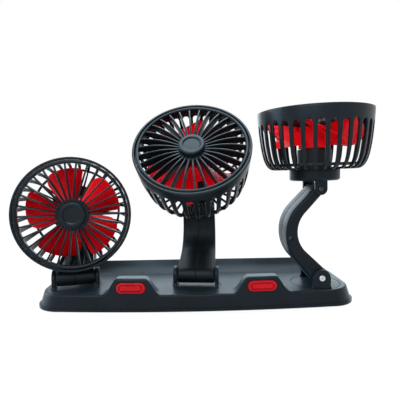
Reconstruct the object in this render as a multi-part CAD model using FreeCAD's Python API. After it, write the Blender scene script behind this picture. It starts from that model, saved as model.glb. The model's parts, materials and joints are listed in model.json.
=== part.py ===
import FreeCAD, Part
import math
import os

Vector = FreeCAD.Vector
Placement = FreeCAD.Placement
Rotation = FreeCAD.Rotation

# Three-headed dashboard fan, millimetres, +Z up, front toward -Y, standing on its pads at z = 0.

# Shared clearances and walls
running_gap = 0.05
swivel_gap = 0.1
seat_gap = 0.03
side_gap = 0.3
axial_gap = 0.12
wall = 2.2
full_turn = 360.0

# Base
base_length = 310.0
base_depth = 98.0
pad_proud = 1.0
plate_thickness = 2.5
deck_height = 16.2
ridge_rise = 11.7
ridge_width = 3.5
ramp_run = 17.0
ramp_start_slope = 0.12
ramp_samples = 4
end_draft = 9.0
front_draft = 2.6
rear_draft = 3.0
draft_height = 30.0
front_bow = 6.0
front_corner = 26.0
rear_corner = 28.0
cover_top = draft_height + pad_proud
lip_inset = 0.8
ridge_y = base_depth / 2 - rear_draft - ridge_width

# Three fan units
unit_names = ("left", "middle", "right")
unit_spacing = 120.0
unit_y = -15.0
swivel_angles = (12.0, -6.0, 90.0)
arm_leans = (43.0, 21.0, 1.0)
head_leans = (132.0, 71.5, 0.0)

# Swivel
disc_radius = 24.1
disc_thickness = 2.6
cup_wall = 2.0
boss_radius = 10.0
wire_radius = 4.5
retainer_radius = 14.5
retainer_thickness = 2.0
swivel_screw_circle = 7.4
swivel_screw_radius = 0.9
swivel_screw_head = 1.7
swivel_screw_head_height = 1.2
swivel_screw_length = 5.0
swivel_screw_count = 3
ear_half_width = 8.3
ear_foot_half_width = 10.2
ear_foot_height = 3.0
ear_thickness = 3.7
arm_pivot_height = 10.0

# Arm
arm_chord = 85.4
arm_bend_radius = 34.0
arm_stations = (0.0, 0.25, 0.5, 1.0)
arm_rear_half = (8.2, 5.3, 4.2, 4.4)
arm_front_half = (8.2, 8.0, 7.2, 5.2)
arm_root_width = 37.0
arm_top_width = 34.0
arm_wall = 2.0
arm_edge = 1.8
arm_samples = 12
arm_pocket_start = 15.0
arm_pocket_end = 10.0
arm_screw_radius = 1.5
arm_screw_head = 2.2
arm_screw_recess = 2.3
arm_screw_recess_depth = 5.0
arm_boss_radius = 3.6
arm_screw_length = 20.0
arm_screw_below_bend = 4.0

# Hinge pins
base_pin_radius = 2.0
base_pin_head = 2.95
base_pin_recess = 3.8
base_pin_head_height = 1.4
head_pin_radius = 1.7
head_pin_head = 2.4
head_pin_recess = 3.0
head_pin_head_height = 1.2

# Head, heights measured from its hinge along the fan axis
fan_radius = 54.9
pivot_to_cap = 7.6
cap_height = 10.8
cap_radius = 24.0
cap_round = 2.5
lug_half_width = 5.8
lug_thickness = 3.7
bowl_depth = 55.0
bowl_wall = 2.0
bowl_floor_radius = 39.0
bowl_floor = pivot_to_cap + cap_height
rim = bowl_floor + bowl_depth
bowl_radii = (54.9, 54.4, 53.2, 51.5, 49.3, 46.5, 43.0)
bowl_steps = (0.0, 9.5, 23.0, 35.0, 44.5, 50.5, 54.0)
slot_count = 32
slot_width = 6.5
slot_top = 11.5
slot_inner = 41.5
slot_outer = 60.0
floor_slot_inner = 27.0
floor_slot_width = 3.2
hoop_radius = 45.0
hoop_width = 2.4
hoop_height = 2.4
hoop_above_floor = 3.6
ledge_depth = 6.0
ledge_height = 1.6
ledge_width = 3.2

# Grille
grille_outer = 51.9
grille_inner = 49.0
grille_crown = 1.0
fin_count = 30
fin_thickness = 1.7
fin_depth = 7.0
fin_bulge = 2.2
grille_hub_radius = 15.5
cap_disc_radius = 11.5
cap_disc_height = 3.6
cap_dish_radius = 7.3
cap_dish_depth = 1.2
cap_peg_radius = 3.0
cap_peg_length = 5.5

# Motor and impeller
motor_radius = 16.2
motor_height = 17.5
motor_nose_radius = 4.0
motor_nose_height = 1.5
shaft_radius = 1.5
shaft_tail = 9.0
blade_count = 5
blade_phase = 32.3
blade_tip_radius = 45.0
blade_tip_over = 48.0
blade_thickness = 2.0
blade_root_half = 9.0
blade_tip_half = 23.0
blade_root_rise = 9.2
blade_tip_rise = 13.0
blade_middle = 21.5
hub_radius = 15.2
hub_front = 13.0
hub_wall = 2.0
hub_gap = 0.8
hub_bore_wall = 3.0

# Button pods
pod_x = 61.0
pod_foot_width = 45.0
pod_foot_round = 4.5
pod_foot_sink = 0.4
pod_top_width = 33.5
pod_rise = 15.0
pod_depth = 17.0
pod_corner = 6.5
pod_lean = 5.0
pod_reach = 6.0
pod_wall = 2.0
button_length = 27.0
button_height = 9.6
button_depth = 5.0
button_proud = 1.6
button_flange = 1.2
button_flange_depth = 1.5
button_travel = 1.2
button_stem_radius = 2.0
button_middle = 6.6
button_rib_length = 15.0
button_rib_height = 2.4
button_rib_proud = 0.7
switch_size = 6.0
switch_depth = 5.5
switch_plate = 1.6
switch_plate_width = 20.0
switch_plate_height = 12.0

# Base fittings
pad_radius = 9.0
pad_sink = 0.8
pad_x = 128.0
pad_y = 27.0
post_radius = 3.6
post_places = ((-100.0, 30.0), (100.0, 30.0), (-58.0, -20.0), (58.0, -20.0))
screw_radius = 1.5
screw_head = 2.8
screw_head_height = 1.6
screw_length = 9.0
board_length = 84.0
board_width = 22.0
board_thickness = 1.6
board_x = 0.0
board_from_rear = 24.0
board_y = base_depth / 2 - board_from_rear
board_lift = 2.5
board_stud_radius = 2.2
board_stud_inset = 5.0
gland_x = 100.0
gland_z = 9.5
gland_bore = 2.1
gland_radius = 4.6
gland_flange = 6.0
gland_flange_thickness = 1.6
gland_length = 9.0


def cylinder(radius, height, at=Vector(0, 0, 0), along=Vector(0, 0, 1)):
    return Part.makeCylinder(radius, height, at, along)


def face_of(points):
    return Part.Face(Part.makePolygon(list(points) + [points[0]]))


def box_between(low, high):
    size = high - low
    return Part.makeBox(size.x, size.y, size.z, low)


def spline_through(points):
    curve = Part.BSplineCurve()
    curve.interpolate(points)
    return curve.toShape()


def turned(face):
    return face.revolve(Vector(0, 0, 0), Vector(0, 0, 1), full_turn)


def inward(points, distance):
    # Bowl profile from rim to floor, moved in square to itself; its ends stay level with rim and floor.
    moved = [points[0] - Vector(distance, 0, 0)]
    for before, point, after in zip(points, points[1:], points[2:]):
        along = (after - before).normalize()
        moved.append(point + Vector(along.z, 0, -along.x) * distance)
    moved.append(points[-1] + Vector(0, 0, distance))
    return moved


def around(shape, count):
    copies = []
    for index in range(count):
        copy = shape.copy()
        copy.rotate(Vector(0, 0, 0), Vector(0, 0, 1), index * full_turn / count)
        copies.append(copy)
    return copies


def outline(inset, height, rise):
    # Plan outline of the base, drawn in with the draft at a given rise.
    share = rise / draft_height
    half_x = base_length / 2 - inset - end_draft * share
    front = -base_depth / 2 + inset + front_draft * share
    rear = base_depth / 2 - inset - rear_draft * share
    shoulder = front + front_bow
    bend = front_corner - inset
    turn = rear_corner - inset
    diagonal = 1 - math.sqrt(1 / 2)

    def at(x, y):
        return Vector(x, y, height)

    edges = [
        Part.Arc(at(-half_x + bend, shoulder), at(0, front), at(half_x - bend, shoulder)).toShape(),
        Part.Arc(at(half_x - bend, shoulder), at(half_x - bend * diagonal, shoulder + bend * diagonal),
                 at(half_x, shoulder + bend)).toShape(),
        Part.makeLine(at(half_x, shoulder + bend), at(half_x, rear - turn)),
        Part.Arc(at(half_x, rear - turn), at(half_x - turn * diagonal, rear - turn * diagonal),
                 at(half_x - turn, rear)).toShape(),
        Part.makeLine(at(half_x - turn, rear), at(-half_x + turn, rear)),
        Part.Arc(at(-half_x + turn, rear), at(-half_x + turn * diagonal, rear - turn * diagonal),
                 at(-half_x, rear - turn)).toShape(),
        Part.makeLine(at(-half_x, rear - turn), at(-half_x, shoulder + bend)),
        Part.Arc(at(-half_x, shoulder + bend), at(-half_x + bend * diagonal, shoulder + bend * diagonal),
                 at(-half_x + bend, shoulder)).toShape(),
    ]
    return Part.Wire(edges)


def drafted_block(inset, floor):
    bottom = outline(inset, floor, floor - pad_proud)
    top = outline(inset, cover_top, cover_top - pad_proud)
    return Part.makeLoft([bottom, top], True, True)


def base_body(inset, floor, drop, pods):
    # Drafted outline cut to the deck, the pods, the curved ramp behind and the rear ridge.
    deck = deck_height - drop
    ridge = deck_height + ridge_rise - drop
    foot = ridge_y - ramp_run
    ramp = []
    for index in range(ramp_samples + 1):
        step = index / ramp_samples
        share = step * step * (1 - ramp_start_slope) + step * ramp_start_slope
        ramp.append(Vector(-base_length, foot + ramp_run * step, deck + ridge_rise * share))
    front = Vector(-base_length, -base_depth, deck)
    back = Vector(-base_length, base_depth, ridge)
    under_front = Vector(-base_length, -base_depth, -base_depth)
    under_back = Vector(-base_length, base_depth, -base_depth)
    edges = [Part.makeLine(front, ramp[0]), spline_through(ramp), Part.makeLine(ramp[-1], back),
             Part.makeLine(back, under_back), Part.makeLine(under_back, under_front),
             Part.makeLine(under_front, front)]
    side = Part.Face(Part.Wire(edges))
    cut_to = side.extrude(Vector(2 * base_length, 0, 0)).fuse(pods)
    return drafted_block(inset, floor).common(cut_to).removeSplitter()


def pod_place(side):
    # Pod frame: on the bowed front wall at deck height, turned with the bow and leaning with the wall.
    share = (deck_height - pad_proud) / draft_height
    half_chord = base_length / 2 - front_corner - end_draft * share
    bow_radius = (half_chord ** 2 + front_bow ** 2) / (2 * front_bow)
    turn = math.degrees(math.asin(pod_x / bow_radius))
    sag = bow_radius - math.sqrt(bow_radius ** 2 - pod_x ** 2)
    front = -base_depth / 2 + lip_inset + front_draft * share + sag
    turned_about = Rotation(Vector(0, 0, 1), side * turn)
    leaned = Rotation(Vector(1, 0, 0), -pod_lean)
    return Placement(Vector(side * pod_x, front, deck_height), turned_about.multiply(leaned))


def pod_block(inset, depth):
    # Trapezoid seen from the front, run from ahead of the front wall to its depth behind it.
    front = -pod_reach
    foot = pod_foot_width / 2 - inset
    top = pod_top_width / 2 - inset
    rise = pod_rise - inset
    sink = deck_height - pad_proud - plate_thickness - wall
    points = [Vector(-foot, front, -sink), Vector(foot, front, -sink), Vector(foot, front, 0),
              Vector(top, front, rise), Vector(-top, front, rise), Vector(-foot, front, 0)]
    block = face_of(points).extrude(Vector(0, pod_reach + depth, 0))
    upper = [edge for edge in block.Edges
             if abs(edge.Vertexes[0].Z - rise) < seat_gap and abs(edge.Vertexes[-1].Z - rise) < seat_gap
             and abs(edge.Vertexes[0].Y - edge.Vertexes[-1].Y) > wall]
    return block.makeFillet(pod_corner - inset, upper)


def pod_skirt(side):
    # Hollow curve that leads a sloping side of the pod out into the deck.
    slope = math.atan2(pod_rise, (pod_foot_width - pod_top_width) / 2)
    reach = pod_foot_round * math.tan(slope / 2)
    foot = Vector(side * (pod_foot_width / 2 + pod_foot_sink / math.tan(slope)), -pod_reach, -pod_foot_sink)
    out = foot + Vector(side * reach, 0, 0)
    up = foot + Vector(-side * reach * math.cos(slope), 0, reach * math.sin(slope))
    centre = out + Vector(0, 0, pod_foot_round)
    middle = centre + (foot - centre).normalize() * pod_foot_round
    sunk = Vector(0, 0, -pod_wall)
    inside = foot - Vector(side * pod_wall, 0, 0)
    edges = [Part.Arc(out, middle, up).toShape(), Part.makeLine(up, inside),
             Part.makeLine(inside, inside + sunk), Part.makeLine(inside + sunk, out + sunk),
             Part.makeLine(out + sunk, out)]
    return Part.Face(Part.Wire(edges)).extrude(Vector(0, pod_reach + pod_depth, 0))


def stadium(length, height, depth, front, middle):
    # Rounded bar standing in the pod frame, facing forward.
    half = (length - height) / 2
    reach = height / 2

    def at(x, z):
        return Vector(x, front, middle + z)

    edges = [Part.makeLine(at(-half, -reach), at(half, -reach)),
             Part.Arc(at(half, -reach), at(half + reach, 0), at(half, reach)).toShape(),
             Part.makeLine(at(half, reach), at(-half, reach)),
             Part.Arc(at(-half, reach), at(-half - reach, 0), at(-half, -reach)).toShape()]
    return Part.Face(Part.Wire(edges)).extrude(Vector(0, depth, 0))


def placed(shape, placement):
    copy = shape.copy()
    copy.Placement = placement.multiply(copy.Placement)
    return copy


nodes = {}


def make_base():
    floor = pad_proud + plate_thickness
    places = [pod_place(-1), pod_place(1)]
    pods = pod_block(0, pod_depth).fuse([pod_skirt(-1), pod_skirt(1)])
    outer = base_body(lip_inset, floor, 0, [placed(pods, place) for place in places])
    pockets = [placed(pod_block(pod_wall, pod_depth - pod_wall), place) for place in places]
    hollow = base_body(lip_inset + wall, floor - wall, wall, pockets)
    cup_depth = disc_thickness + axial_gap
    cups = []
    bores = []
    for index in range(len(unit_names)):
        centre = Vector((index - 1) * unit_spacing, unit_y, deck_height)
        low = centre - Vector(0, 0, cup_depth + cup_wall)
        cups.append(cylinder(disc_radius + side_gap + cup_wall, cup_depth + cup_wall - seat_gap, low))
        bores.append(cylinder(disc_radius + side_gap, cup_depth + wall, centre - Vector(0, 0, cup_depth)))
        bores.append(cylinder(boss_radius + swivel_gap, 2 * cup_wall + cup_depth,
                              low - Vector(0, 0, cup_wall)))
    posts = []
    threads = []
    for x, y in post_places:
        posts.append(cylinder(post_radius, deck_height - floor - seat_gap, Vector(x, y, floor)))
        threads.append(cylinder(screw_radius + seat_gap, screw_length, Vector(x, y, pad_proud)))
    cover = outer.cut(hollow).fuse(cups + posts).cut(bores + threads)
    holes = []
    for place in places:
        window = stadium(button_length + 2 * side_gap, button_height + 2 * side_gap, 4 * pod_wall,
                         -2 * pod_wall, button_middle)
        holes.append(placed(window, place))
    inlet = cylinder(gland_radius + seat_gap, gland_length,
                     Vector(gland_x, base_depth / 2 - gland_length, gland_z), Vector(0, 1, 0))
    nodes["base_top_cover"] = cover.cut(holes + [inlet]).removeSplitter()

    plate = Part.Face(outline(0, pad_proud, 0)).extrude(Vector(0, 0, plate_thickness))
    board_low = floor + board_lift
    corner_x = board_length / 2 - board_stud_inset
    corner_y = board_width / 2 - board_stud_inset
    corners = [(board_x + sx * corner_x, board_y + sy * corner_y) for sx in (-1, 1) for sy in (-1, 1)]
    studs = [cylinder(board_stud_radius, board_lift, Vector(x, y, floor)) for x, y in corners]
    plate = plate.fuse(studs)
    pad_spots = [(0, 0)] + [(sx * pad_x, sy * pad_y) for sx in (-1, 1) for sy in (-1, 1)]
    cuts = [cylinder(pad_radius + seat_gap, pad_sink, Vector(x, y, pad_proud)) for x, y in pad_spots]
    for x, y in post_places:
        cuts.append(cylinder(screw_radius + side_gap, 2 * plate_thickness, Vector(x, y, 0)))
        cuts.append(cylinder(screw_head + side_gap, screw_head_height, Vector(x, y, pad_proud)))
    nodes["base_bottom_plate"] = plate.cut(cuts).removeSplitter()

    pads = [cylinder(pad_radius, pad_proud + pad_sink, Vector(x, y, 0)) for x, y in pad_spots]
    nodes["base_pads"] = Part.makeCompound(pads)

    screws = []
    for x, y in post_places:
        seat = pad_proud + screw_head_height
        head = cylinder(screw_head, screw_head_height - side_gap, Vector(x, y, pad_proud + side_gap))
        screws.append(head.fuse(cylinder(screw_radius, screw_length - seat, Vector(x, y, seat))))
    nodes["base_screws"] = Part.makeCompound(screws)

    low = Vector(board_x - board_length / 2, board_y - board_width / 2, board_low)
    nodes["control_board"] = Part.makeBox(board_length, board_width, board_thickness, low)

    # The gland's flange meets the drafted rear wall at its lower edge.
    seat_rise = gland_z - gland_flange - pad_proud
    seat_y = base_depth / 2 - lip_inset - rear_draft * seat_rise / draft_height
    rearward = Vector(0, 1, 0)
    inside = Vector(gland_x, seat_y - gland_length, gland_z)
    flange = cylinder(gland_flange, gland_flange_thickness, Vector(gland_x, seat_y, gland_z), rearward)
    body = cylinder(gland_radius, gland_length, inside, rearward)
    bore = cylinder(gland_bore, 2 * gland_length, inside, rearward)
    nodes["cable_gland"] = flange.fuse(body).cut(bore).removeSplitter()

    for name, place in zip(("left", "right"), places):
        face = stadium(button_length, button_height, button_depth, -button_proud, button_middle)
        flange_low = wall + side_gap
        flange = stadium(button_length + 2 * button_flange, button_height + 2 * button_flange,
                         button_flange_depth, flange_low, button_middle)
        rib = stadium(button_rib_length, button_rib_height, button_proud, -button_proud - button_rib_proud,
                      button_middle)
        back = pod_depth - pod_wall
        stem_end = back - switch_plate - switch_depth - button_travel - side_gap
        stem = cylinder(button_stem_radius, stem_end, Vector(0, 0, button_middle), Vector(0, 1, 0))
        nodes[name + "_button"] = placed(face.fuse([flange, rib, stem]).removeSplitter(), place)
        plate_low = button_middle - switch_plate_height / 2
        plate = box_between(Vector(-switch_plate_width / 2, back - switch_plate, plate_low),
                            Vector(switch_plate_width / 2, back, plate_low + switch_plate_height))
        half = switch_size / 2
        body = box_between(Vector(-half, back - switch_plate - switch_depth, button_middle - half),
                           Vector(half, back - switch_plate, button_middle + half))
        nodes[name + "_switch"] = placed(plate.fuse(body).removeSplitter(), place)


def arm_point(distance):
    # Centre line of the bent arm: leg, quarter bend, leg; rear is +Y and up is +Z from the lower hinge.
    slope = math.sqrt(1 / 2)
    leg = arm_chord * slope - arm_bend_radius
    bend = arm_bend_radius * math.pi / 2
    if distance <= leg:
        return Vector(0, distance * slope, distance * slope), Vector(0, slope, slope)
    if distance >= leg + bend:
        rest = distance - leg - bend
        start = leg * slope
        return (Vector(0, start - rest * slope, arm_chord - start + rest * slope), Vector(0, -slope, slope))
    angle = (distance - leg) / arm_bend_radius
    centre = Vector(0, leg * slope - arm_bend_radius * slope, arm_chord / 2)
    ray = angle - math.pi / 4
    point = centre + Vector(0, math.cos(ray), math.sin(ray)) * arm_bend_radius
    return point, Vector(0, -math.sin(ray), math.cos(ray))


def arm_half(share, halves):
    for index in range(len(arm_stations) - 1):
        low = arm_stations[index]
        high = arm_stations[index + 1]
        if share <= high:
            part = (share - low) / (high - low)
            return halves[index] + (halves[index + 1] - halves[index]) * part
    return halves[-1]


def arm_length():
    return arm_chord * math.sqrt(2) - 2 * arm_bend_radius + arm_bend_radius * math.pi / 2


def arm_profile(start, end, inset):
    length = arm_length()
    inner = []
    outer = []
    for index in range(arm_samples + 1):
        distance = start + (length - start - end) * index / arm_samples
        point, along = arm_point(distance)
        side = Vector(0, along.z, -along.y)
        outer.append(point + side * (arm_half(distance / length, arm_rear_half) - inset))
        inner.append(point - side * (arm_half(distance / length, arm_front_half) - inset))
    low_point, low_along = arm_point(start)
    high_point, high_along = arm_point(length - end)
    low_half = arm_half(start / length, arm_rear_half) - inset
    high_half = arm_half(1 - end / length, arm_rear_half) - inset
    edges = [spline_through(outer),
             Part.Arc(outer[-1], high_point + high_along * high_half, inner[-1]).toShape(),
             spline_through(inner[::-1]),
             Part.Arc(inner[0], low_point - low_along * low_half, outer[0]).toShape()]
    return Part.Face(Part.Wire(edges))


def make_unit():
    # One fan unit in its own frames: swivel frame at the deck, arm frame at P1, head frame at P2.
    unit = {}
    ear_inner = arm_root_width / 2 + side_gap
    ear_outer = ear_inner + ear_thickness
    boss_length = disc_thickness + axial_gap + cup_wall + axial_gap
    disc = cylinder(disc_radius, disc_thickness, Vector(0, 0, -disc_thickness))
    boss = cylinder(boss_radius, boss_length, Vector(0, 0, -boss_length))
    ears = []
    sunk = -disc_thickness / 2
    turning_space = cylinder(disc_radius, disc_thickness + arm_pivot_height, Vector(0, 0, -disc_thickness))
    for side in (-1, 1):
        inner_x = ear_inner if side > 0 else -ear_outer
        points = [Vector(inner_x, -ear_foot_half_width, sunk), Vector(inner_x, ear_foot_half_width, sunk),
                  Vector(inner_x, ear_foot_half_width, 0), Vector(inner_x, ear_half_width, ear_foot_height),
                  Vector(inner_x, ear_half_width, arm_pivot_height),
                  Vector(inner_x, -ear_half_width, arm_pivot_height),
                  Vector(inner_x, -ear_half_width, ear_foot_height), Vector(inner_x, -ear_foot_half_width, 0)]
        ears.append(face_of(points).extrude(Vector(ear_thickness, 0, 0)).common(turning_space))
        ears.append(cylinder(ear_half_width, ear_thickness, Vector(inner_x, 0, arm_pivot_height),
                             Vector(1, 0, 0)))
    pivot = Vector(-ear_outer, 0, arm_pivot_height)
    cuts = [cylinder(wire_radius, 2 * boss_length, Vector(0, 0, -boss_length)),
            cylinder(base_pin_radius + seat_gap, 2 * ear_outer, pivot, Vector(1, 0, 0)),
            cylinder(base_pin_recess, base_pin_head_height, pivot, Vector(1, 0, 0))]
    screws = []
    for index in range(swivel_screw_count):
        angle = 2 * math.pi * index / swivel_screw_count
        spot = Vector(swivel_screw_circle * math.cos(angle), swivel_screw_circle * math.sin(angle), 0)
        low = spot - Vector(0, 0, boss_length + retainer_thickness)
        cuts.append(cylinder(swivel_screw_radius + seat_gap, swivel_screw_length, low))
        head = cylinder(swivel_screw_head, swivel_screw_head_height,
                        low - Vector(0, 0, swivel_screw_head_height))
        screws.append(head.fuse(cylinder(swivel_screw_radius, swivel_screw_length - wall / 2, low)))
    unit["swivel_base"] = disc.fuse([boss] + ears).cut(cuts).removeSplitter()
    unit["swivel_screws"] = Part.makeCompound(screws)
    ring = cylinder(retainer_radius, retainer_thickness, Vector(0, 0, -boss_length - retainer_thickness))
    unit["swivel_retainer"] = ring.cut(cuts)
    pin = cylinder(base_pin_radius, 2 * ear_outer - base_pin_head_height,
                   Vector(-ear_outer + base_pin_head_height, 0, arm_pivot_height), Vector(1, 0, 0))
    pin_head = cylinder(base_pin_head, base_pin_head_height, pivot, Vector(1, 0, 0))
    unit["arm_base_pin"] = pin.fuse(pin_head).removeSplitter()

    root = arm_root_width / 2
    crest = arm_top_width / 2
    face = arm_profile(0, 0, 0)
    edge_face = arm_profile(0, 0, arm_edge)
    slope = (root - crest) / arm_chord
    pocket_face = arm_profile(arm_pocket_start, arm_pocket_end, arm_wall)
    apex = arm_point(arm_length() / 2 - arm_screw_below_bend)[0]
    bores = [cylinder(base_pin_radius + running_gap, 2 * ear_outer, Vector(-ear_outer, 0, 0),
                      Vector(1, 0, 0)),
             cylinder(head_pin_radius + running_gap, 2 * ear_outer, Vector(-ear_outer, 0, arm_chord),
                      Vector(1, 0, 0))]
    for side, name in ((-1, "arm_left_half"), (1, "arm_right_half")):
        # Each half runs from the seam to its side, narrows with height and has its outer edges broken.
        sections = [face.OuterWire]
        for section, reach in ((face, root - arm_edge), (edge_face, root)):
            lean = FreeCAD.Matrix()
            lean.A13 = -side * slope
            lean.A14 = side * reach
            sections.append(section.OuterWire.transformGeometry(lean))
        half = Part.makeLoft(sections, True, True)
        pocket = pocket_face.extrude(Vector(side * (crest - arm_wall), 0, 0))
        boss = cylinder(arm_boss_radius, crest - arm_wall / 2, apex, Vector(side, 0, 0))
        cuts = list(bores)
        if side < 0:
            cuts.append(cylinder(arm_screw_radius + side_gap, 2 * root, apex, Vector(-1, 0, 0)))
            seat = apex - Vector(crest - arm_screw_recess_depth, 0, 0)
            cuts.append(cylinder(arm_screw_recess, 2 * root, seat, Vector(-1, 0, 0)))
        else:
            cuts.append(cylinder(arm_screw_radius + seat_gap, arm_screw_length / 2, apex, Vector(1, 0, 0)))
        unit[name] = half.cut(pocket).fuse(boss).cut(cuts).removeSplitter()
    seat_x = -crest + arm_screw_recess_depth
    shank = cylinder(arm_screw_radius, arm_screw_length, apex + Vector(seat_x, 0, 0), Vector(1, 0, 0))
    screw_head = cylinder(arm_screw_head, 2 * arm_screw_radius, apex + Vector(seat_x, 0, 0), Vector(-1, 0, 0))
    unit["arm_screw"] = shank.fuse(screw_head).removeSplitter()

    lug_inner = crest + side_gap
    lug_outer = lug_inner + lug_thickness
    cap = cylinder(cap_radius, cap_height, Vector(0, 0, pivot_to_cap))
    low_edges = [edge for edge in cap.Edges if edge.BoundBox.ZMax < pivot_to_cap + seat_gap]
    cap = cap.makeFillet(cap_round, low_edges)
    cap = cap.cut(cylinder(cap_radius - wall, cap_height, Vector(0, 0, pivot_to_cap + wall)))
    lugs = []
    for inner_x in (lug_inner, -lug_outer):
        lugs.append(cylinder(lug_half_width, lug_thickness, Vector(inner_x, 0, 0), Vector(1, 0, 0)))
        lugs.append(box_between(Vector(inner_x, -lug_half_width, 0),
                                Vector(inner_x + lug_thickness, lug_half_width, pivot_to_cap + wall)))
    hinge = Vector(-lug_outer, 0, 0)
    cuts = [cylinder(head_pin_radius + seat_gap, 2 * lug_outer, hinge, Vector(1, 0, 0)),
            cylinder(head_pin_recess, head_pin_head_height, hinge, Vector(1, 0, 0)),
            cylinder(wire_radius, 2 * wall, Vector(0, 0, pivot_to_cap - wall))]
    unit["motor_cover"] = cap.fuse(lugs).cut(cuts).removeSplitter()
    pin = cylinder(head_pin_radius, 2 * lug_outer - head_pin_head_height,
                   Vector(-lug_outer + head_pin_head_height, 0, 0), Vector(1, 0, 0))
    pin_head = cylinder(head_pin_head, head_pin_head_height, hinge, Vector(1, 0, 0))
    unit["head_pin"] = pin.fuse(pin_head).removeSplitter()

    outer = [Vector(radius, 0, rim - step) for radius, step in zip(bowl_radii, bowl_steps)]
    outer.append(Vector(bowl_floor_radius, 0, bowl_floor))
    inner = inward(outer, bowl_wall)
    centre_low = Vector(0, 0, bowl_floor)
    centre_high = Vector(0, 0, inner[-1].z)
    crown = Vector((outer[0].x + inner[0].x) / 2, 0, rim + bowl_wall / 2)
    edges = [spline_through(outer), Part.makeLine(outer[-1], centre_low),
             Part.makeLine(centre_low, centre_high), Part.makeLine(centre_high, inner[-1]),
             spline_through(inner[::-1]), Part.Arc(inner[0], crown, outer[0]).toShape()]
    bowl = turned(Part.Face(Part.Wire(edges)))
    ledge_outer = fan_radius - bowl_wall / 2
    ledge_low = Vector(0, 0, rim - ledge_depth - ledge_height)
    ledge = cylinder(ledge_outer, ledge_height, ledge_low)
    ledge = ledge.cut(cylinder(ledge_outer - ledge_width, ledge_height, ledge_low))
    slot_half = slot_width / 2
    slot_low = bowl_floor - bowl_wall
    slot_high = rim - slot_top - slot_half
    corners = [Vector(slot_inner, -slot_half, slot_high), Vector(slot_inner, -slot_half, slot_low),
               Vector(slot_inner, slot_half, slot_low), Vector(slot_inner, slot_half, slot_high)]
    arch = Part.Arc(corners[-1], Vector(slot_inner, 0, rim - slot_top), corners[0]).toShape()
    slot = Part.Face(Part.Wire(list(Part.makePolygon(corners).Edges) + [arch]))
    slot = slot.extrude(Vector(slot_outer - slot_inner, 0, 0))
    floor_half = floor_slot_width / 2
    join = slot_inner + bowl_wall
    corners = [Vector(floor_slot_inner, -floor_half, slot_low), Vector(join, -slot_half, slot_low),
               Vector(join, slot_half, slot_low), Vector(floor_slot_inner, floor_half, slot_low)]
    wedge = Part.Face(Part.makePolygon(corners + corners[:1]))
    wedge = wedge.extrude(Vector(0, 0, bowl_wall + hoop_above_floor))
    bowl = bowl.fuse(ledge).cut(around(slot.fuse(wedge), slot_count))
    hoop_low = Vector(0, 0, bowl_floor + hoop_above_floor)
    hoop = cylinder(hoop_radius, hoop_height, hoop_low)
    hoop = hoop.cut(cylinder(hoop_radius - hoop_width, hoop_height, hoop_low))
    bowl = bowl.fuse(hoop).cut(cylinder(wire_radius, 4 * bowl_wall, Vector(0, 0, bowl_floor - bowl_wall)))
    unit["fan_bowl"] = bowl.removeSplitter()

    motor_low = bowl_floor + bowl_wall
    motor_top = motor_low + motor_height
    motor = cylinder(motor_radius, motor_height, Vector(0, 0, motor_low))
    nose = cylinder(motor_nose_radius, motor_nose_height, Vector(0, 0, motor_top))
    motor_bore = cylinder(shaft_radius + running_gap, 2 * motor_height, Vector(0, 0, motor_low - wall))
    unit["motor"] = motor.fuse(nose).cut(motor_bore).removeSplitter()
    hub_top = rim - hub_front
    shaft_low = motor_top - shaft_tail
    unit["motor_shaft"] = cylinder(shaft_radius, hub_top - hub_wall - shaft_low, Vector(0, 0, shaft_low))

    hub_low = motor_top + hub_gap
    hub = cylinder(hub_radius, hub_top - hub_low, Vector(0, 0, hub_low))
    hub = hub.cut(cylinder(hub_radius - hub_wall, hub_top - hub_wall - hub_low, Vector(0, 0, hub_low)))
    sleeve_low = motor_top + motor_nose_height + hub_gap
    sleeve = cylinder(shaft_radius + hub_bore_wall, hub_top - hub_wall / 2 - sleeve_low,
                      Vector(0, 0, sleeve_low))
    sections = []
    middle = rim - blade_middle
    for radius, half, rise in ((hub_radius - hub_wall / 2, blade_root_half, blade_root_rise),
                               (blade_tip_over, blade_tip_half, blade_tip_rise)):
        span = math.hypot(half, rise)
        lift = Vector(0, rise, half) * (blade_thickness / 2 / span)
        start = Vector(radius, -half, middle + rise)
        stop = Vector(radius, half, middle - rise)
        corners = [start + lift, stop + lift, stop - lift, start - lift]
        sections.append(Part.makePolygon(corners + [start + lift]))
    blade = Part.makeLoft(sections, True, True)
    swept_low = Vector(0, 0, middle - 2 * blade_tip_rise)
    swept = cylinder(blade_tip_radius, 4 * blade_tip_rise, swept_low)
    swept = swept.cut(cylinder(hub_radius - hub_wall / 2, 4 * blade_tip_rise, swept_low))
    blade = blade.common(swept)
    blade.rotate(Vector(0, 0, 0), Vector(0, 0, 1), blade_phase)
    impeller = hub.fuse([sleeve] + around(blade, blade_count))
    shaft_hole = cylinder(shaft_radius, hub_top - hub_wall - shaft_low, Vector(0, 0, shaft_low))
    unit["impeller"] = impeller.cut(shaft_hole).removeSplitter()

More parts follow.
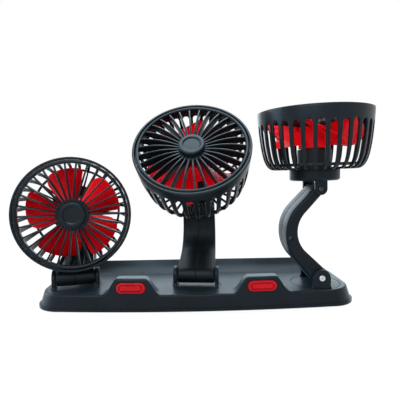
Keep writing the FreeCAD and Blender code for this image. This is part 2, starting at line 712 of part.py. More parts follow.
    fin_low = rim - fin_depth
    fin_inner = grille_hub_radius - fin_thickness
    fin_outer = grille_inner + fin_thickness
    crest_middle = Vector((fin_inner + fin_outer) / 2, -fin_thickness / 2, rim + fin_bulge)
    inner_top = Vector(fin_inner, -fin_thickness / 2, rim)
    outer_top = Vector(fin_outer, -fin_thickness / 2, rim)
    inner_low = Vector(fin_inner, -fin_thickness / 2, fin_low)
    outer_low = Vector(fin_outer, -fin_thickness / 2, rim - ledge_depth)
    fin = Part.Face(Part.Wire([Part.Arc(inner_top, crest_middle, outer_top).toShape(),
                               Part.makeLine(outer_top, outer_low), Part.makeLine(outer_low, inner_low),
                               Part.makeLine(inner_low, inner_top)]))
    fin = fin.extrude(Vector(0, fin_thickness, 0))
    ring_low = rim - ledge_depth
    ring_top = Vector((grille_inner + grille_outer) / 2, 0, rim + grille_crown)
    ring_edges = [Part.Arc(Vector(grille_inner, 0, rim), ring_top, Vector(grille_outer, 0, rim)).toShape(),
                  Part.makeLine(Vector(grille_outer, 0, rim), Vector(grille_outer, 0, ring_low)),
                  Part.makeLine(Vector(grille_outer, 0, ring_low), Vector(grille_inner, 0, ring_low)),
                  Part.makeLine(Vector(grille_inner, 0, ring_low), Vector(grille_inner, 0, rim))]
    ring = turned(Part.Face(Part.Wire(ring_edges)))
    hub_disc = cylinder(grille_hub_radius, fin_depth, Vector(0, 0, fin_low))
    grille = ring.fuse([hub_disc] + around(fin, fin_count))
    peg_hole = cylinder(cap_peg_radius + seat_gap, 2 * fin_depth, Vector(0, 0, fin_low - fin_depth / 2))
    unit["front_grille"] = grille.cut(peg_hole).removeSplitter()
    disc = cylinder(cap_disc_radius, cap_disc_height, Vector(0, 0, rim))
    dish = cylinder(cap_dish_radius, cap_dish_depth, Vector(0, 0, rim + cap_disc_height - cap_dish_depth))
    peg = cylinder(cap_peg_radius, cap_peg_length, Vector(0, 0, rim - cap_peg_length))
    unit["grille_cap"] = disc.cut(dish).fuse(peg).removeSplitter()
    return unit


swivel_pieces = ("swivel_base", "swivel_retainer", "swivel_screws", "arm_base_pin")
arm_pieces = ("arm_left_half", "arm_right_half", "arm_screw")

make_base()
unit_shapes = make_unit()
for index, unit_name in enumerate(unit_names):
    on_deck = Vector((index - 1) * unit_spacing, unit_y, deck_height)
    swivel_frame = Placement(on_deck, Rotation(Vector(0, 0, 1), swivel_angles[index]))
    arm_frame = swivel_frame.multiply(Placement(Vector(0, 0, arm_pivot_height),
                                                Rotation(Vector(1, 0, 0), -arm_leans[index])))
    head_frame = arm_frame.multiply(Placement(Vector(0, 0, arm_chord),
                                              Rotation(Vector(1, 0, 0), head_leans[index])))
    for piece, shape in unit_shapes.items():
        frame = head_frame
        if piece in swivel_pieces:
            frame = swivel_frame
        if piece in arm_pieces:
            frame = arm_frame
        nodes[unit_name + "_" + piece] = placed(shape, frame)

os.makedirs("parts", exist_ok=True)
for node_name, shape in nodes.items():
    shape.exportStep("parts/" + node_name + ".step")
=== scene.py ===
import json
import math
import bmesh
import bpy
import numpy as np
from mathutils import Matrix


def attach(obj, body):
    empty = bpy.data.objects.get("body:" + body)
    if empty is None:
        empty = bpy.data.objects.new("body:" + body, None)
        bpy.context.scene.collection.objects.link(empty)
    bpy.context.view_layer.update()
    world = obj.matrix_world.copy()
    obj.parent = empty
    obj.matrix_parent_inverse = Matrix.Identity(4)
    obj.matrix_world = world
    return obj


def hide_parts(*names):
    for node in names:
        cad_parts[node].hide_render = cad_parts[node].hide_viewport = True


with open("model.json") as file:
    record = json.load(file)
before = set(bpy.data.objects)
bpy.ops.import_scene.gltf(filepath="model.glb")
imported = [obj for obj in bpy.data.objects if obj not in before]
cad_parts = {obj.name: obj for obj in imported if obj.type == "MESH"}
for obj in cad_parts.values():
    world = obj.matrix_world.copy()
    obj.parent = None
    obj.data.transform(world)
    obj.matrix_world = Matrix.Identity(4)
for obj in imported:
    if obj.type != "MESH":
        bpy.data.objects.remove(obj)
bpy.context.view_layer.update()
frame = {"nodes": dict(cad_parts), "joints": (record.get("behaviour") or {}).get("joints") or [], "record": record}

# Three-headed dashboard fan. Shapes are worked out in millimetres, in each hinge's own frame,
# then stood in place.
mm = 0.001
joints = {joint["name"]: joint for joint in frame["joints"]}
unitNames = ("left", "middle", "right")
print("frame loaded:", len(frame["nodes"]), "nodes")


# Finishes

def startFinish(name):
    material = bpy.data.materials.new(name)
    material.use_nodes = True
    tree = material.node_tree
    return material, tree, tree.nodes["Principled BSDF"], tree.nodes.new("ShaderNodeTexCoord")


def addNoise(tree, spot, scale, detail, roughness=0.55):
    noise = tree.nodes.new("ShaderNodeTexNoise")
    noise.inputs["Scale"].default_value = scale
    noise.inputs["Detail"].default_value = detail
    noise.inputs["Roughness"].default_value = roughness
    tree.links.new(spot.outputs["Object"], noise.inputs["Vector"])
    return noise


def addRange(tree, source, low, high, start=0.3, stop=0.7):
    spread = tree.nodes.new("ShaderNodeMapRange")
    spread.inputs["From Min"].default_value = start
    spread.inputs["From Max"].default_value = stop
    spread.inputs["To Min"].default_value = low
    spread.inputs["To Max"].default_value = high
    tree.links.new(source, spread.inputs["Value"])
    return spread.outputs["Result"]


def addTwoTone(tree, source, dark, light, start=0.35, stop=0.65):
    ramp = tree.nodes.new("ShaderNodeValToRGB")
    ramp.color_ramp.elements[0].position = start
    ramp.color_ramp.elements[0].color = (*dark, 1)
    ramp.color_ramp.elements[1].position = stop
    ramp.color_ramp.elements[1].color = (*light, 1)
    tree.links.new(source, ramp.inputs["Fac"])
    return ramp.outputs["Color"]


def addBump(tree, shader, source, strength, depth):
    bump = tree.nodes.new("ShaderNodeBump")
    bump.inputs["Strength"].default_value = strength
    bump.inputs["Distance"].default_value = depth
    tree.links.new(source, bump.inputs["Height"])
    tree.links.new(bump.outputs["Normal"], shader.inputs["Normal"])


plainLook = dict(bump=0.06, grainDepth=0.0001, tint=(1.0, 1.0, 1.0), coat=0.0, coatRough=0.2, sheen=0.0,
                 sheenRough=0.35, sheenTint=(0.36, 0.68, 1.0))
bareSteel = dict(cloud=300, scratch=1500, bump=0.12, scratchDepth=0.00005)
coolTint = (0.70, 0.88, 1.0)


def mouldedPlastic(name, **form):
    # slow cloud drifts the colour and the gloss, fine grain of the mould stands in the bump
    look = plainLook | form
    material, tree, shader, spot = startFinish(name)
    cloud = addNoise(tree, spot, look["cloud"], 4)
    grain = addNoise(tree, spot, look["grain"], 2)
    colour = addTwoTone(tree, cloud.outputs["Fac"], look["dark"], look["light"])
    tree.links.new(colour, shader.inputs["Base Color"])
    tree.links.new(addRange(tree, cloud.outputs["Fac"], *look["rough"]), shader.inputs["Roughness"])
    addBump(tree, shader, grain.outputs["Fac"], look["bump"], look["grainDepth"])
    shader.inputs["Specular IOR Level"].default_value = look["shine"]
    shader.inputs["Specular Tint"].default_value = (*look["tint"], 1)
    shader.inputs["Sheen Weight"].default_value = look["sheen"]
    shader.inputs["Sheen Roughness"].default_value = look["sheenRough"]
    shader.inputs["Sheen Tint"].default_value = (*look["sheenTint"], 1)
    shader.inputs["Coat Weight"].default_value = look["coat"]
    shader.inputs["Coat Roughness"].default_value = look["coatRough"]
    return material


def screwSteel(name, **form):
    # slow cloud drifts the colour of the bare metal, fine scratches break its gloss and stand in the bump
    look = bareSteel | form
    material, tree, shader, spot = startFinish(name)
    cloud = addNoise(tree, spot, look["cloud"], 3)
    scratch = addNoise(tree, spot, look["scratch"], 6, 0.7)
    colour = addTwoTone(tree, cloud.outputs["Fac"], look["dark"], look["light"])
    tree.links.new(colour, shader.inputs["Base Color"])
    tree.links.new(addRange(tree, scratch.outputs["Fac"], *look["rough"]), shader.inputs["Roughness"])
    addBump(tree, shader, scratch.outputs["Fac"], look["bump"], look["scratchDepth"])
    shader.inputs["Metallic"].default_value = 1.0
    return material


finishes = {
    "body": mouldedPlastic(
        "satin_black_shell", cloud=26, grain=2600, rough=(0.33, 0.42), shine=0.17, tint=coolTint, sheen=0.14,
        dark=(0.0030, 0.0038, 0.0050), light=(0.0046, 0.0060, 0.0078)),
    "arm": mouldedPlastic(
        "satin_black_arm", cloud=34, grain=2600, rough=(0.36, 0.44), shine=0.16, tint=coolTint, sheen=0.06,
        dark=(0.0028, 0.0036, 0.0048), light=(0.0044, 0.0058, 0.0074)),
    "grille": mouldedPlastic(
        "satin_black_cage", cloud=30, grain=3000, rough=(0.28, 0.36), bump=0.08, shine=0.20, tint=coolTint,
        sheen=0.03, dark=(0.0030, 0.0040, 0.0054), light=(0.0048, 0.0064, 0.0084)),
    "red": mouldedPlastic(
        "red_button_plastic", cloud=40, grain=1800, dark=(0.32, 0.0020, 0.0060), light=(0.42, 0.0032, 0.0085),
        rough=(0.26, 0.36), bump=0.05, shine=0.10),
    # wheel red: the wheel's own red, with its base colour raised as painted light against the shade inside the
    # bowl
    "wheel": mouldedPlastic(
        "red_wheel_plastic", cloud=40, grain=1800, dark=(0.68, 0.0012, 0.0060), light=(0.78, 0.0022, 0.0085),
        rough=(0.26, 0.36), bump=0.05, shine=0.10),
    "steel": screwSteel(
        "bright_screw_steel", dark=(0.46, 0.49, 0.52), light=(0.60, 0.63, 0.66), rough=(0.22, 0.36)),
    # dark steel: worn by the head hinge screws, and on the arm screws it is painted shade standing in for their
    # dark recess
    "darkSteel": screwSteel(
        "blackened_screw_steel", dark=(0.030, 0.034, 0.040), light=(0.070, 0.078, 0.088), rough=(0.28, 0.42)),
    "motor": mouldedPlastic(
        "dark_motor_can", cloud=50, grain=1500, dark=(0.0050, 0.0056, 0.0064), light=(0.0090, 0.0100, 0.0115),
        rough=(0.38, 0.50), bump=0.10, shine=0.20),
    "board": mouldedPlastic(
        "green_board", cloud=90, grain=700, dark=(0.010, 0.060, 0.022), light=(0.020, 0.100, 0.038),
        rough=(0.32, 0.48), bump=0.20, grainDepth=0.00015, shine=0.5, coat=0.2),
    "pad": mouldedPlastic(
        "soft_grey_pad", cloud=60, grain=1200, dark=(0.030, 0.031, 0.033), light=(0.048, 0.049, 0.052),
        rough=(0.70, 0.86), bump=0.35, grainDepth=0.00025, shine=0.25),
}
print("finishes ready:", len(finishes))


# Mesh makers

def unit(vector):
    vector = np.asarray(vector, float)
    return vector / np.linalg.norm(vector)


def gridQuads(rows, columns, closeRows, closeColumns):
    index = np.arange(rows * columns).reshape(rows, columns)
    if closeRows:
        index = np.vstack([index, index[:1]])
    if closeColumns:
        index = np.hstack([index, index[:, :1]])
    return np.stack([index[:-1, :-1], index[:-1, 1:], index[1:, 1:], index[1:, :-1]], -1)


weld = 0.002
sliver = 0.01
cutReach = 40
sharpFrom = math.radians(32)


def meshFrom(grids):
    # every grid is one closed skin: its poles and seams are welded, and its faces turned outward
    whole = bmesh.new()
    for points, closeRows in grids:
        quads = gridQuads(*points.shape[:2], closeRows, True)
        sheet = bpy.data.meshes.new("sheet")
        sheet.from_pydata(points.reshape(-1, 3).tolist(), [], quads.reshape(-1, 4).tolist())
        skin = bmesh.new()
        skin.from_mesh(sheet)
        bmesh.ops.remove_doubles(skin, verts=skin.verts, dist=weld)
        bmesh.ops.recalc_face_normals(skin, faces=skin.faces)
        if skin.calc_volume(signed=True) < 0:
            bmesh.ops.reverse_faces(skin, faces=skin.faces)
        skin.to_mesh(sheet)
        skin.free()
        whole.from_mesh(sheet)
        bpy.data.meshes.remove(sheet)
    made = bpy.data.meshes.new("shape")
    whole.to_mesh(made)
    whole.free()
    return made


def combine(first, second, operation):
    # boolean of two closed shapes, returned as a new mesh
    holders = []
    for shape in (first, second):
        holder = bpy.data.objects.new("holder", shape)
        bpy.context.scene.collection.objects.link(holder)
        holders.append(holder)
    tool = holders[0].modifiers.new("tool", "BOOLEAN")
    tool.operation = operation
    tool.solver = "MANIFOLD"
    tool.object = holders[1]
    depsgraph = bpy.context.evaluated_depsgraph_get()
    made = bpy.data.meshes.new_from_object(holders[0].evaluated_get(depsgraph))
    for holder in holders:
        bpy.data.objects.remove(holder)
    return made


def standAt(origin, side, up):
    # local x along side, z along up and y behind; millimetres become metres of the shared frame
    side, up = unit(side), unit(up)
    back = np.cross(up, side)
    matrix = np.eye(4)
    matrix[:3, :3] = np.stack([side, back, up], 1) * mm
    matrix[:3, 3] = origin
    return Matrix(matrix.tolist())


def standPiece(name, shape, place, body, slot, nodes, finish=None):
    shape = shape.copy()
    shape.name = name
    shape.transform(place)
    shape.materials.clear()
    shape.materials.append(finishes[finish or slot])
    shape.polygons.foreach_set("material_index", np.zeros(len(shape.polygons), np.int32))
    shape.shade_smooth()
    shape.set_sharp_from_angle(angle=sharpFrom)
    piece = bpy.data.objects.new(name, shape)
    bpy.context.scene.collection.objects.link(piece)
    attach(piece, body)
    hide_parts(*nodes)
    return piece


def roundedPath(corners, radii, steps=6, ends=False):
    # polygon with each corner swapped for the arc of its own radius; open paths keep their two ends
    corners = np.asarray(corners, float)
    radii = np.asarray(radii, float)[:, None]
    toBefore = np.roll(corners, 1, 0) - corners
    toAfter = np.roll(corners, -1, 0) - corners
    toBefore /= np.linalg.norm(toBefore, axis=1, keepdims=True)
    toAfter /= np.linalg.norm(toAfter, axis=1, keepdims=True)
    half = np.arccos(np.clip((toBefore * toAfter).sum(1, keepdims=True), -1, 1)) / 2
    bisector = toBefore + toAfter
    bisector /= np.linalg.norm(bisector, axis=1, keepdims=True)
    centre = corners + bisector * radii / np.sin(half)
    first = corners + toBefore * radii / np.tan(half) - centre
    last = corners + toAfter * radii / np.tan(half) - centre
    share = np.linspace(0, 1, steps)[None, :, None]
    sweep = (math.pi - 2 * half)[:, None]
    arcs = np.sin((1 - share) * sweep) * first[:, None] + np.sin(share * sweep) * last[:, None]
    arcs = centre[:, None] + arcs / np.sin(sweep)
    if ends:
        arcs[0], arcs[-1] = corners[0], corners[-1]
    return arcs.reshape(-1, 2)


def lathe(profile, count=96):
    # radius and height of the profile carried once round the z axis
    angle = np.arange(count) * 2 * math.pi / count
    radius, height = profile[:, :1], profile[:, 1:]
    return np.stack([radius * np.cos(angle), radius * np.sin(angle), height + 0 * angle], -1)


def slab(loop, low, high, edge, steps=5):
    # outline carried from low to high, drawn in along its normals by a quarter round at both faces
    ahead = np.roll(loop, -1, 0) - np.roll(loop, 1, 0)
    normal = np.stack([ahead[:, 1], -ahead[:, 0]], -1)
    normal /= np.linalg.norm(normal, axis=1, keepdims=True)
    turn = np.linspace(0, math.pi / 2, steps)
    inner = 1.25 * edge
    inset = np.concatenate([[inner], edge * (1 - np.sin(turn)), edge * (1 - np.cos(turn)), [inner]])
    height = np.concatenate([[low], low + edge * (1 - np.cos(turn)), high - edge * (1 - np.sin(turn)), [high]])
    rows = loop[None] - normal[None] * inset[:, None, None]
    middle = np.broadcast_to(loop.mean(0), (1, *loop.shape))
    rows = np.concatenate([middle, rows, middle])
    height = np.concatenate([[low], height, [high]])
    return np.concatenate([rows, np.broadcast_to(height[:, None, None], (*rows.shape[:2], 1))], -1)


def alongX(points):
    return points[..., [2, 0, 1]]


def sideBore(radius, floor, count=40):
    # round cutter that comes in along x from the low side and stops at the floor
    path = np.array([(0, -cutReach), (radius, -cutReach), (radius, floor), (0, floor)])
    return alongX(lathe(path, count))


def facingFront(points):
    return points[..., [0, 2, 1]]


def stadium(length, height, steps=14):
    # bar with half-round ends, about the middle
    x, y = length / 2, height / 2
    return roundedPath([(-x, -y), (x, -y), (x, y), (-x, y)], [y - weld / 2] * 4, steps)


def softClamp(value, soft):
    # 0 to 1 clamp with both corners rounded over the width soft
    upper = np.minimum(value, 1) - np.maximum(soft - np.abs(value - 1), 0) ** 2 / (4 * soft)
    return np.maximum(upper, 0) + np.maximum(soft - np.abs(upper), 0) ** 2 / (4 * soft)


# Base cover

baseForm = dict(length=310, depth=98, ground=1.0, foot=3.5, lip=0.8, deck=16.2, ridgeRise=11.7, ridgeLine=42.5,
                rampRun=17, rampStart=0.12, endLean=9 / 30, frontLean=2.6 / 30, rearLean=3 / 30, bow=6,
                frontCorner=26, rearCorner=28, edge=2.0, wall=2.2, innerEdge=0.6, spine=98)
podForm = dict(away=61, foot=22.9, top=16.5, rise=15, back=17, backRun=3, soft=0.7)


def bowLine(x, rise):
    # front edge of the plan: a shallow arc across the whole front
    chord = baseForm["length"] / 2 - baseForm["frontCorner"] - baseForm["endLean"] * rise
    radius = (chord ** 2 + baseForm["bow"] ** 2) / (2 * baseForm["bow"])
    front = -baseForm["depth"] / 2 + baseForm["frontLean"] * rise
    return front + radius - np.sqrt(radius ** 2 - x ** 2)


def podShare(x, y):
    # how much of the full pod stands at a point: sloped flanks to the sides, a steep back behind
    deckRise = baseForm["deck"] - baseForm["ground"]
    behind = y - bowLine(x, deckRise) - baseForm["lip"]
    aside = np.abs(np.abs(x) - podForm["away"])
    flank = softClamp((podForm["foot"] - aside) / (podForm["foot"] - podForm["top"]), podForm["soft"])
    back = softClamp((podForm["back"] + podForm["backRun"] / 2 - behind) / podForm["backRun"], podForm["soft"])
    return flank * back


def baseTop(x, y):
    # deck, curved ramp up to the rear ridge, and the two button pods
    climb = np.clip((y - baseForm["ridgeLine"]) / baseForm["rampRun"] + 1, 0, 1)
    ramp = baseForm["ridgeRise"] * (climb ** 2 * (1 - baseForm["rampStart"]) + climb * baseForm["rampStart"])
    return baseForm["deck"] + np.maximum(ramp, podForm["rise"] * podShare(x, y))


def coverColumns():
    # where the plan is sampled: closely at the pod flanks, evenly elsewhere
    flank = np.linspace(podForm["top"] - 5, podForm["foot"] + 4, 22)
    near = np.concatenate([podForm["away"] + flank, podForm["away"] - flank])
    along = np.concatenate([np.linspace(0, baseForm["spine"], 34), near])
    along = np.unique(np.round(along[along <= baseForm["spine"]], 3))
    along = np.concatenate([-along[:0:-1], along])
    beyond = np.linspace(0, 1, 9)[1:]
    return along, beyond


def baseOutline(inset, rise):
    # plan of the base at a rise above the ground, as columns round it: bowed front, corner arcs, ends and rear
    form = baseForm
    along, beyond = coverColumns()
    arc = np.linspace(0, math.pi / 2, 20)[1:-1]
    share = np.linspace(0, 1, 7)
    sizes = np.cumsum([0, 2 * len(beyond) + len(along), len(arc), len(share), len(arc),
                       2 * len(beyond) + len(along), len(arc), len(share), len(arc)])
    parts = [slice(low, high) for low, high in zip(sizes, sizes[1:])]
    shape = np.broadcast_shapes(inset.shape, rise.shape, (1, sizes[-1]))
    inset, rise = np.broadcast_to(inset, shape), np.broadcast_to(rise, shape)
    halfX = form["length"] / 2 - inset - form["endLean"] * rise
    front = -form["depth"] / 2 + inset + form["frontLean"] * rise
    rear = form["depth"] / 2 - inset - form["rearLean"] * rise
    bend, turn = form["frontCorner"] - inset, form["rearCorner"] - inset
    x, y = np.zeros(shape), np.zeros(shape)

    def across(part, corner):
        reach = (halfX - corner)[:, part][:, :1]
        far = form["spine"] + (reach - form["spine"]) * beyond
        return np.hstack([-far[:, ::-1], np.repeat(along[None], shape[0], 0), far])

    x[:, parts[0]] = across(parts[0], bend)
    chord = halfX - bend
    radius = (chord ** 2 + form["bow"] ** 2) / (2 * form["bow"])
    bowed = front + radius - np.sqrt(radius ** 2 - np.minimum(np.abs(x), chord) ** 2)
    y[:, parts[0]] = bowed[:, parts[0]]
    shoulder = front + form["bow"]
    corners = ((1, bend, shoulder + bend, -math.pi / 2), (3, turn, rear - turn, 0),
               (5, turn, rear - turn, math.pi / 2), (7, bend, shoulder + bend, math.pi))
    for number, size, middle, start in corners:
        part = parts[number]
        side = 1 if number < 5 else -1
        x[:, part] = (side * (halfX - size))[:, part] + size[:, part] * np.cos(start + arc)
        y[:, part] = middle[:, part] + size[:, part] * np.sin(start + arc)
    for number, side in ((2, 1), (6, -1)):
        part = parts[number]
        low, high = (shoulder + bend)[:, part], (rear - turn)[:, part]
        x[:, part] = (side * halfX)[:, part]
        y[:, part] = low + (high - low) * (share if side > 0 else 1 - share)
    x[:, parts[4]] = across(parts[4], turn)[:, ::-1]
    y[:, parts[4]] = rear[:, parts[4]]
    return x, y


def coverLean():
    # inward lean of the wall at each column, as a slope
    x, y = baseOutline(np.zeros((1, 1)), np.zeros((1, 1)))
    ahead = np.stack([np.roll(x, -1, 1) - np.roll(x, 1, 1), np.roll(y, -1, 1) - np.roll(y, 1, 1)])
    ahead /= np.linalg.norm(ahead, axis=0)
    along = np.where(ahead[0] > 0, baseForm["frontLean"], baseForm["rearLean"])
    return np.abs(ahead[1]) * baseForm["endLean"] + np.abs(ahead[0]) * along


def coverSkin(inset, drop, edge):
    # rows from the foot of the wall up, over a rounded rim and in across the top to the middle line
    lean = coverLean()
    tilt = np.arctan(lean)
    settle = lean * edge * (1 - np.sin(tilt)) - edge * np.cos(tilt)
    height = np.full(lean.shape, baseForm["deck"] - drop)
    for attempt in range(6):
        x, y = baseOutline(inset - settle, height - baseForm["ground"])
        height = baseTop(x, y) - drop
    wallTop = height - edge * (1 - np.sin(tilt))
    climb = np.linspace(0, 1, 7)[:, None]
    wallHeight = baseForm["foot"] + (wallTop - baseForm["foot"]) * climb
    wallX, wallY = baseOutline(np.full((1, 1), inset), wallHeight - baseForm["ground"])
    angle = tilt + (math.pi / 2 - tilt) * np.linspace(0, 1, 8)[1:, None]
    roundX, roundY = baseOutline(inset - settle - edge * np.cos(angle), height - baseForm["ground"])
    roundHeight = height - edge + edge * np.sin(angle)
    # the top is sampled at these depths in from the rim, closely at the back of the pods
    backStart = podForm["back"] - podForm["backRun"]
    depth = np.concatenate([[0.8, 3, 6, 10], np.linspace(backStart, podForm["back"] + podForm["backRun"], 16),
                            np.linspace(22, 47, 14)])
    inward = (depth / depth[-1])[:, None]
    spineX = np.clip(x, -baseForm["spine"], baseForm["spine"])
    topX, topY = x + (spineX - x) * inward, y * (1 - inward)
    topHeight = baseTop(topX, topY) - drop
    columns = [np.concatenate(rows) for rows in ((wallX, roundX, topX), (wallY, roundY, topY),
                                                 (wallHeight, roundHeight, topHeight))]
    return np.stack(columns, -1)


outer = coverSkin(baseForm["lip"], 0, baseForm["edge"])
inner = coverSkin(baseForm["lip"] + baseForm["wall"], baseForm["wall"], baseForm["innerEdge"])
coverShape = meshFrom([(np.concatenate([outer[::-1], inner]), False)])

discForm = dict(radius=24.1, thick=2.6, gap=0.3, edge=0.5, wellLow=8, wellHigh=4)
buttonForm = dict(length=27, height=9.6, gap=0.3, above=6.6, proud=1.6, depth=5, edge=1.1,
                  padLength=20, padHeight=4.4, padProud=0.3, padEdge=0.6,
                  grooveLength=22.6, grooveHeight=6.8, grooveDepth=1.2, grooveOver=1, window=(-6, 8))
glandForm = dict(x=100, z=9.5, radius=4.6, start=30, stop=60)


def frontSlab(length, height, front, back, *edge):
    # stadium slab whose face looks to the front
    return meshFrom([(facingFront(slab(stadium(length, height), front, back, *edge)), False)])


def podPlace(side, axis):
    # pod frame: on the front wall at button height, y into the pod
    axis = unit(axis)
    across = unit(np.cross(axis, (0, 0, 1)))
    up = np.cross(across, axis)
    deckRise = baseForm["deck"] - baseForm["ground"]
    wall = bowLine(podForm["away"], deckRise) + baseForm["lip"]
    origin = np.array([side * podForm["away"], wall, baseForm["deck"]]) + up * buttonForm["above"]
    return standAt(origin * mm, across, up)


cuts = []
for name in unitNames:
    x, y, z = np.array(joints[name + "_swivel"]["pos_m"]) / mm
    reach = discForm["radius"] + discForm["gap"]
    low, high = z - discForm["wellLow"], z + discForm["wellHigh"]
    well = np.array([(0, low), (reach, low), (reach, high), (0, high)])
    cuts.append((lathe(well, 128) + np.array([x, y, 0]), False))
reach, low, high = glandForm["radius"], glandForm["start"], glandForm["stop"]
tunnel = lathe(np.array([(0, low), (reach, low), (reach, high), (0, high)]), 48)
cuts.append((facingFront(tunnel) + np.array([glandForm["x"], 0, glandForm["z"]]), False))
coverShape = combine(coverShape, meshFrom(cuts), "DIFFERENCE")
podPlaces = {}
for name, side in (("left", -1), ("right", 1)):
    podPlaces[name] = podPlace(side, joints[name + "_button_push"]["axis"])
gap, proud = 2 * buttonForm["gap"], buttonForm["proud"]
for place in podPlaces.values():
    window = frontSlab(buttonForm["length"] + gap, buttonForm["height"] + gap, *buttonForm["window"], sliver, 2)
    window.transform(Matrix.Scale(1 / mm, 4) @ place)
    coverShape = combine(coverShape, window, "DIFFERENCE")
ground = standAt((0, 0, 0), (1, 0, 0), (0, 0, 1))
standPiece("base_cover_moulding", coverShape, ground, "base", "body", ["base_top_cover"])

buttonShape = frontSlab(buttonForm["length"], buttonForm["height"], -proud, buttonForm["depth"] - proud,
                        buttonForm["edge"])
groove = frontSlab(buttonForm["grooveLength"], buttonForm["grooveHeight"], -proud - buttonForm["grooveOver"],
                   buttonForm["grooveDepth"] - proud, sliver, 2)
pad = frontSlab(buttonForm["padLength"], buttonForm["padHeight"], -proud - buttonForm["padProud"], 0,
                buttonForm["padEdge"])
buttonShape = combine(combine(buttonShape, groove, "DIFFERENCE"), pad, "UNION")
for name, place in podPlaces.items():
    standPiece(name + "_button_cap", buttonShape, place, name + "_button_body", "red", [name + "_button"])
print("base cover and buttons made")


# Turntable with its two hinge ears

earForm = dict(inner=18.8, outer=22.5, half=8.3, foot=9.9, footRise=3, pivot=10, sunk=1.3, edge=0.9,
               recess=3.8, recessDepth=1.4)
earX, earY, earZ = earForm["half"], earForm["foot"], earForm["pivot"] + earForm["half"]
earLoop = roundedPath([(-earY, -earForm["sunk"]), (earY, -earForm["sunk"]), (earX, earForm["footRise"]),
                       (earX, earZ), (-earX, earZ), (-earX, earForm["footRise"])],
                      [1.3, 1.3, 3, earX - sliver, earX - sliver, 3], 10)
discPath = roundedPath([(0, -discForm["thick"]), (discForm["radius"], -discForm["thick"]),
                        (discForm["radius"], 0), (0, 0)], [0.1, 0.2, discForm["edge"], 0.1], 6, True)
ears = [(alongX(slab(earLoop, low, high, earForm["edge"])), False)
        for low, high in ((earForm["inner"], earForm["outer"]), (-earForm["outer"], -earForm["inner"]))]
turntable = combine(meshFrom([(lathe(discPath, 128), False)]), meshFrom(ears), "UNION")
seat = sideBore(earForm["recess"], earForm["recessDepth"] - earForm["outer"], 48)
seat = seat + np.array([0, 0, earForm["pivot"]])
turntable = combine(turntable, meshFrom([(seat, False)]), "DIFFERENCE")


# Hinge screws

baseScrewForm = dict(shank=2.0, head=2.95, headHeight=1.4, reach=22.3, slot=1.7)
headScrewForm = dict(shank=1.7, head=2.4, headHeight=1.2, reach=20.8, slot=1.35)
crossForm = dict(slender=4.2, sunk=0.55, corner=0.08, over=1)


def crossScrew(shank, head, headHeight, reach, slot):
    # shank with a domed head at its low end, and a cross sunk in the head
    path = roundedPath([(0, -reach), (head, -reach), (head, headHeight - reach), (shank, headHeight - reach),
                        (shank, reach), (0, reach)], [0.1, 0.5, 0.1, 0.1, 0.3, 0.1], 5, True)
    blank = meshFrom([(lathe(path, 40), False)])
    thin = slot / crossForm["slender"]
    for long, wide in ((slot, thin), (thin, slot)):
        bar = roundedPath([(-long, -wide), (long, -wide), (long, wide), (-long, wide)],
                          [crossForm["corner"]] * 4, 3)
        bar = slab(bar, -reach - crossForm["over"], -reach + headHeight * crossForm["sunk"], sliver, 2)
        blank = combine(blank, meshFrom([(bar, False)]), "DIFFERENCE")
    blank.transform(Matrix(((0, 0, 1, 0), (1, 0, 0, 0), (0, 1, 0, 0), (0, 0, 0, 1))))
    return blank


baseScrew = crossScrew(**baseScrewForm)
baseScrew.transform(Matrix.Translation((0, 0, earForm["pivot"])))
headScrew = crossScrew(**headScrewForm)

# Bent arm in two shells

armForm = dict(chord=85.4, bend=34, stations=(0, 0.25, 0.5, 1), rear=(8.2, 5.3, 4.2, 4.4),
               front=(8.2, 8.0, 7.2, 5.2), rootWidth=37, topWidth=34, edge=2.4, seam=0.12, seamEdge=0.35,
               screwBelow=4, screwRecess=2.3, recessDepth=5)


def armLine(distance):
    # centre line: leg, quarter bend, leg; gives its point and its direction in y and z
    slope = math.sqrt(0.5)
    leg = armForm["chord"] * slope - armForm["bend"]
    ray = np.clip((distance - leg) / armForm["bend"], 0, math.pi / 2) - math.pi / 4
    before, after = np.minimum(distance, leg), np.maximum(distance - leg - armForm["bend"] * math.pi / 2, 0)
    centre = (leg - armForm["bend"]) * slope
    y = centre + armForm["bend"] * np.cos(ray) + (before - leg) * slope - after * slope
    z = armForm["chord"] / 2 + armForm["bend"] * np.sin(ray) + (before - leg) * slope + after * slope
    return y, z, -np.sin(ray), np.cos(ray)


armLength = armForm["chord"] * math.sqrt(2) - 2 * armForm["bend"] + armForm["bend"] * math.pi / 2


def armShell(side):
    # rounded box section carried along the line, closing to a half round beyond each hinge
    turn = np.linspace(-1, 1, 17)[:, None] * math.pi / 2
    root, tip = armForm["rear"][0], (armForm["rear"][-1] + armForm["front"][-1]) / 2
    lower, upper = turn[:9], turn[8:]
    run = np.linspace(0, armLength, 64)[1:-1, None]
    distance = np.concatenate([root * np.sin(lower), run, armLength + tip * np.sin(upper)])
    closing = np.concatenate([np.cos(lower), np.ones_like(run), np.cos(upper)])
    share = np.clip(distance / armLength, 0, 1)
    rear = np.interp(share, armForm["stations"], armForm["rear"]) * closing
    front = np.interp(share, armForm["stations"], armForm["front"]) * closing
    y, z, alongY, alongZ = armLine(distance)
    width = (armForm["rootWidth"] + (armForm["topWidth"] - armForm["rootWidth"]) * z / armForm["chord"]) / 2
    outerEdge = np.minimum(armForm["edge"], 0.95 * np.minimum(rear, front))
    innerEdge = np.minimum(armForm["seamEdge"], 0.95 * np.minimum(rear, front))
    quarter = np.linspace(0, math.pi / 2, 6)[None]
    seam = armForm["seam"]
    spots = ((width - outerEdge, rear - outerEdge, outerEdge),
             (seam + innerEdge, rear - innerEdge, innerEdge),
             (seam + innerEdge, innerEdge - front, innerEdge),
             (width - outerEdge, outerEdge - front, outerEdge))
    turns = [quarter + number * math.pi / 2 for number in range(4)]
    across = np.hstack([x + size * np.cos(angle) for (x, offset, size), angle in zip(spots, turns)])
    offset = np.hstack([offset + size * np.sin(angle) for (x, offset, size), angle in zip(spots, turns)])
    return np.stack([side * across, y + offset * alongZ, z - offset * alongY], -1)


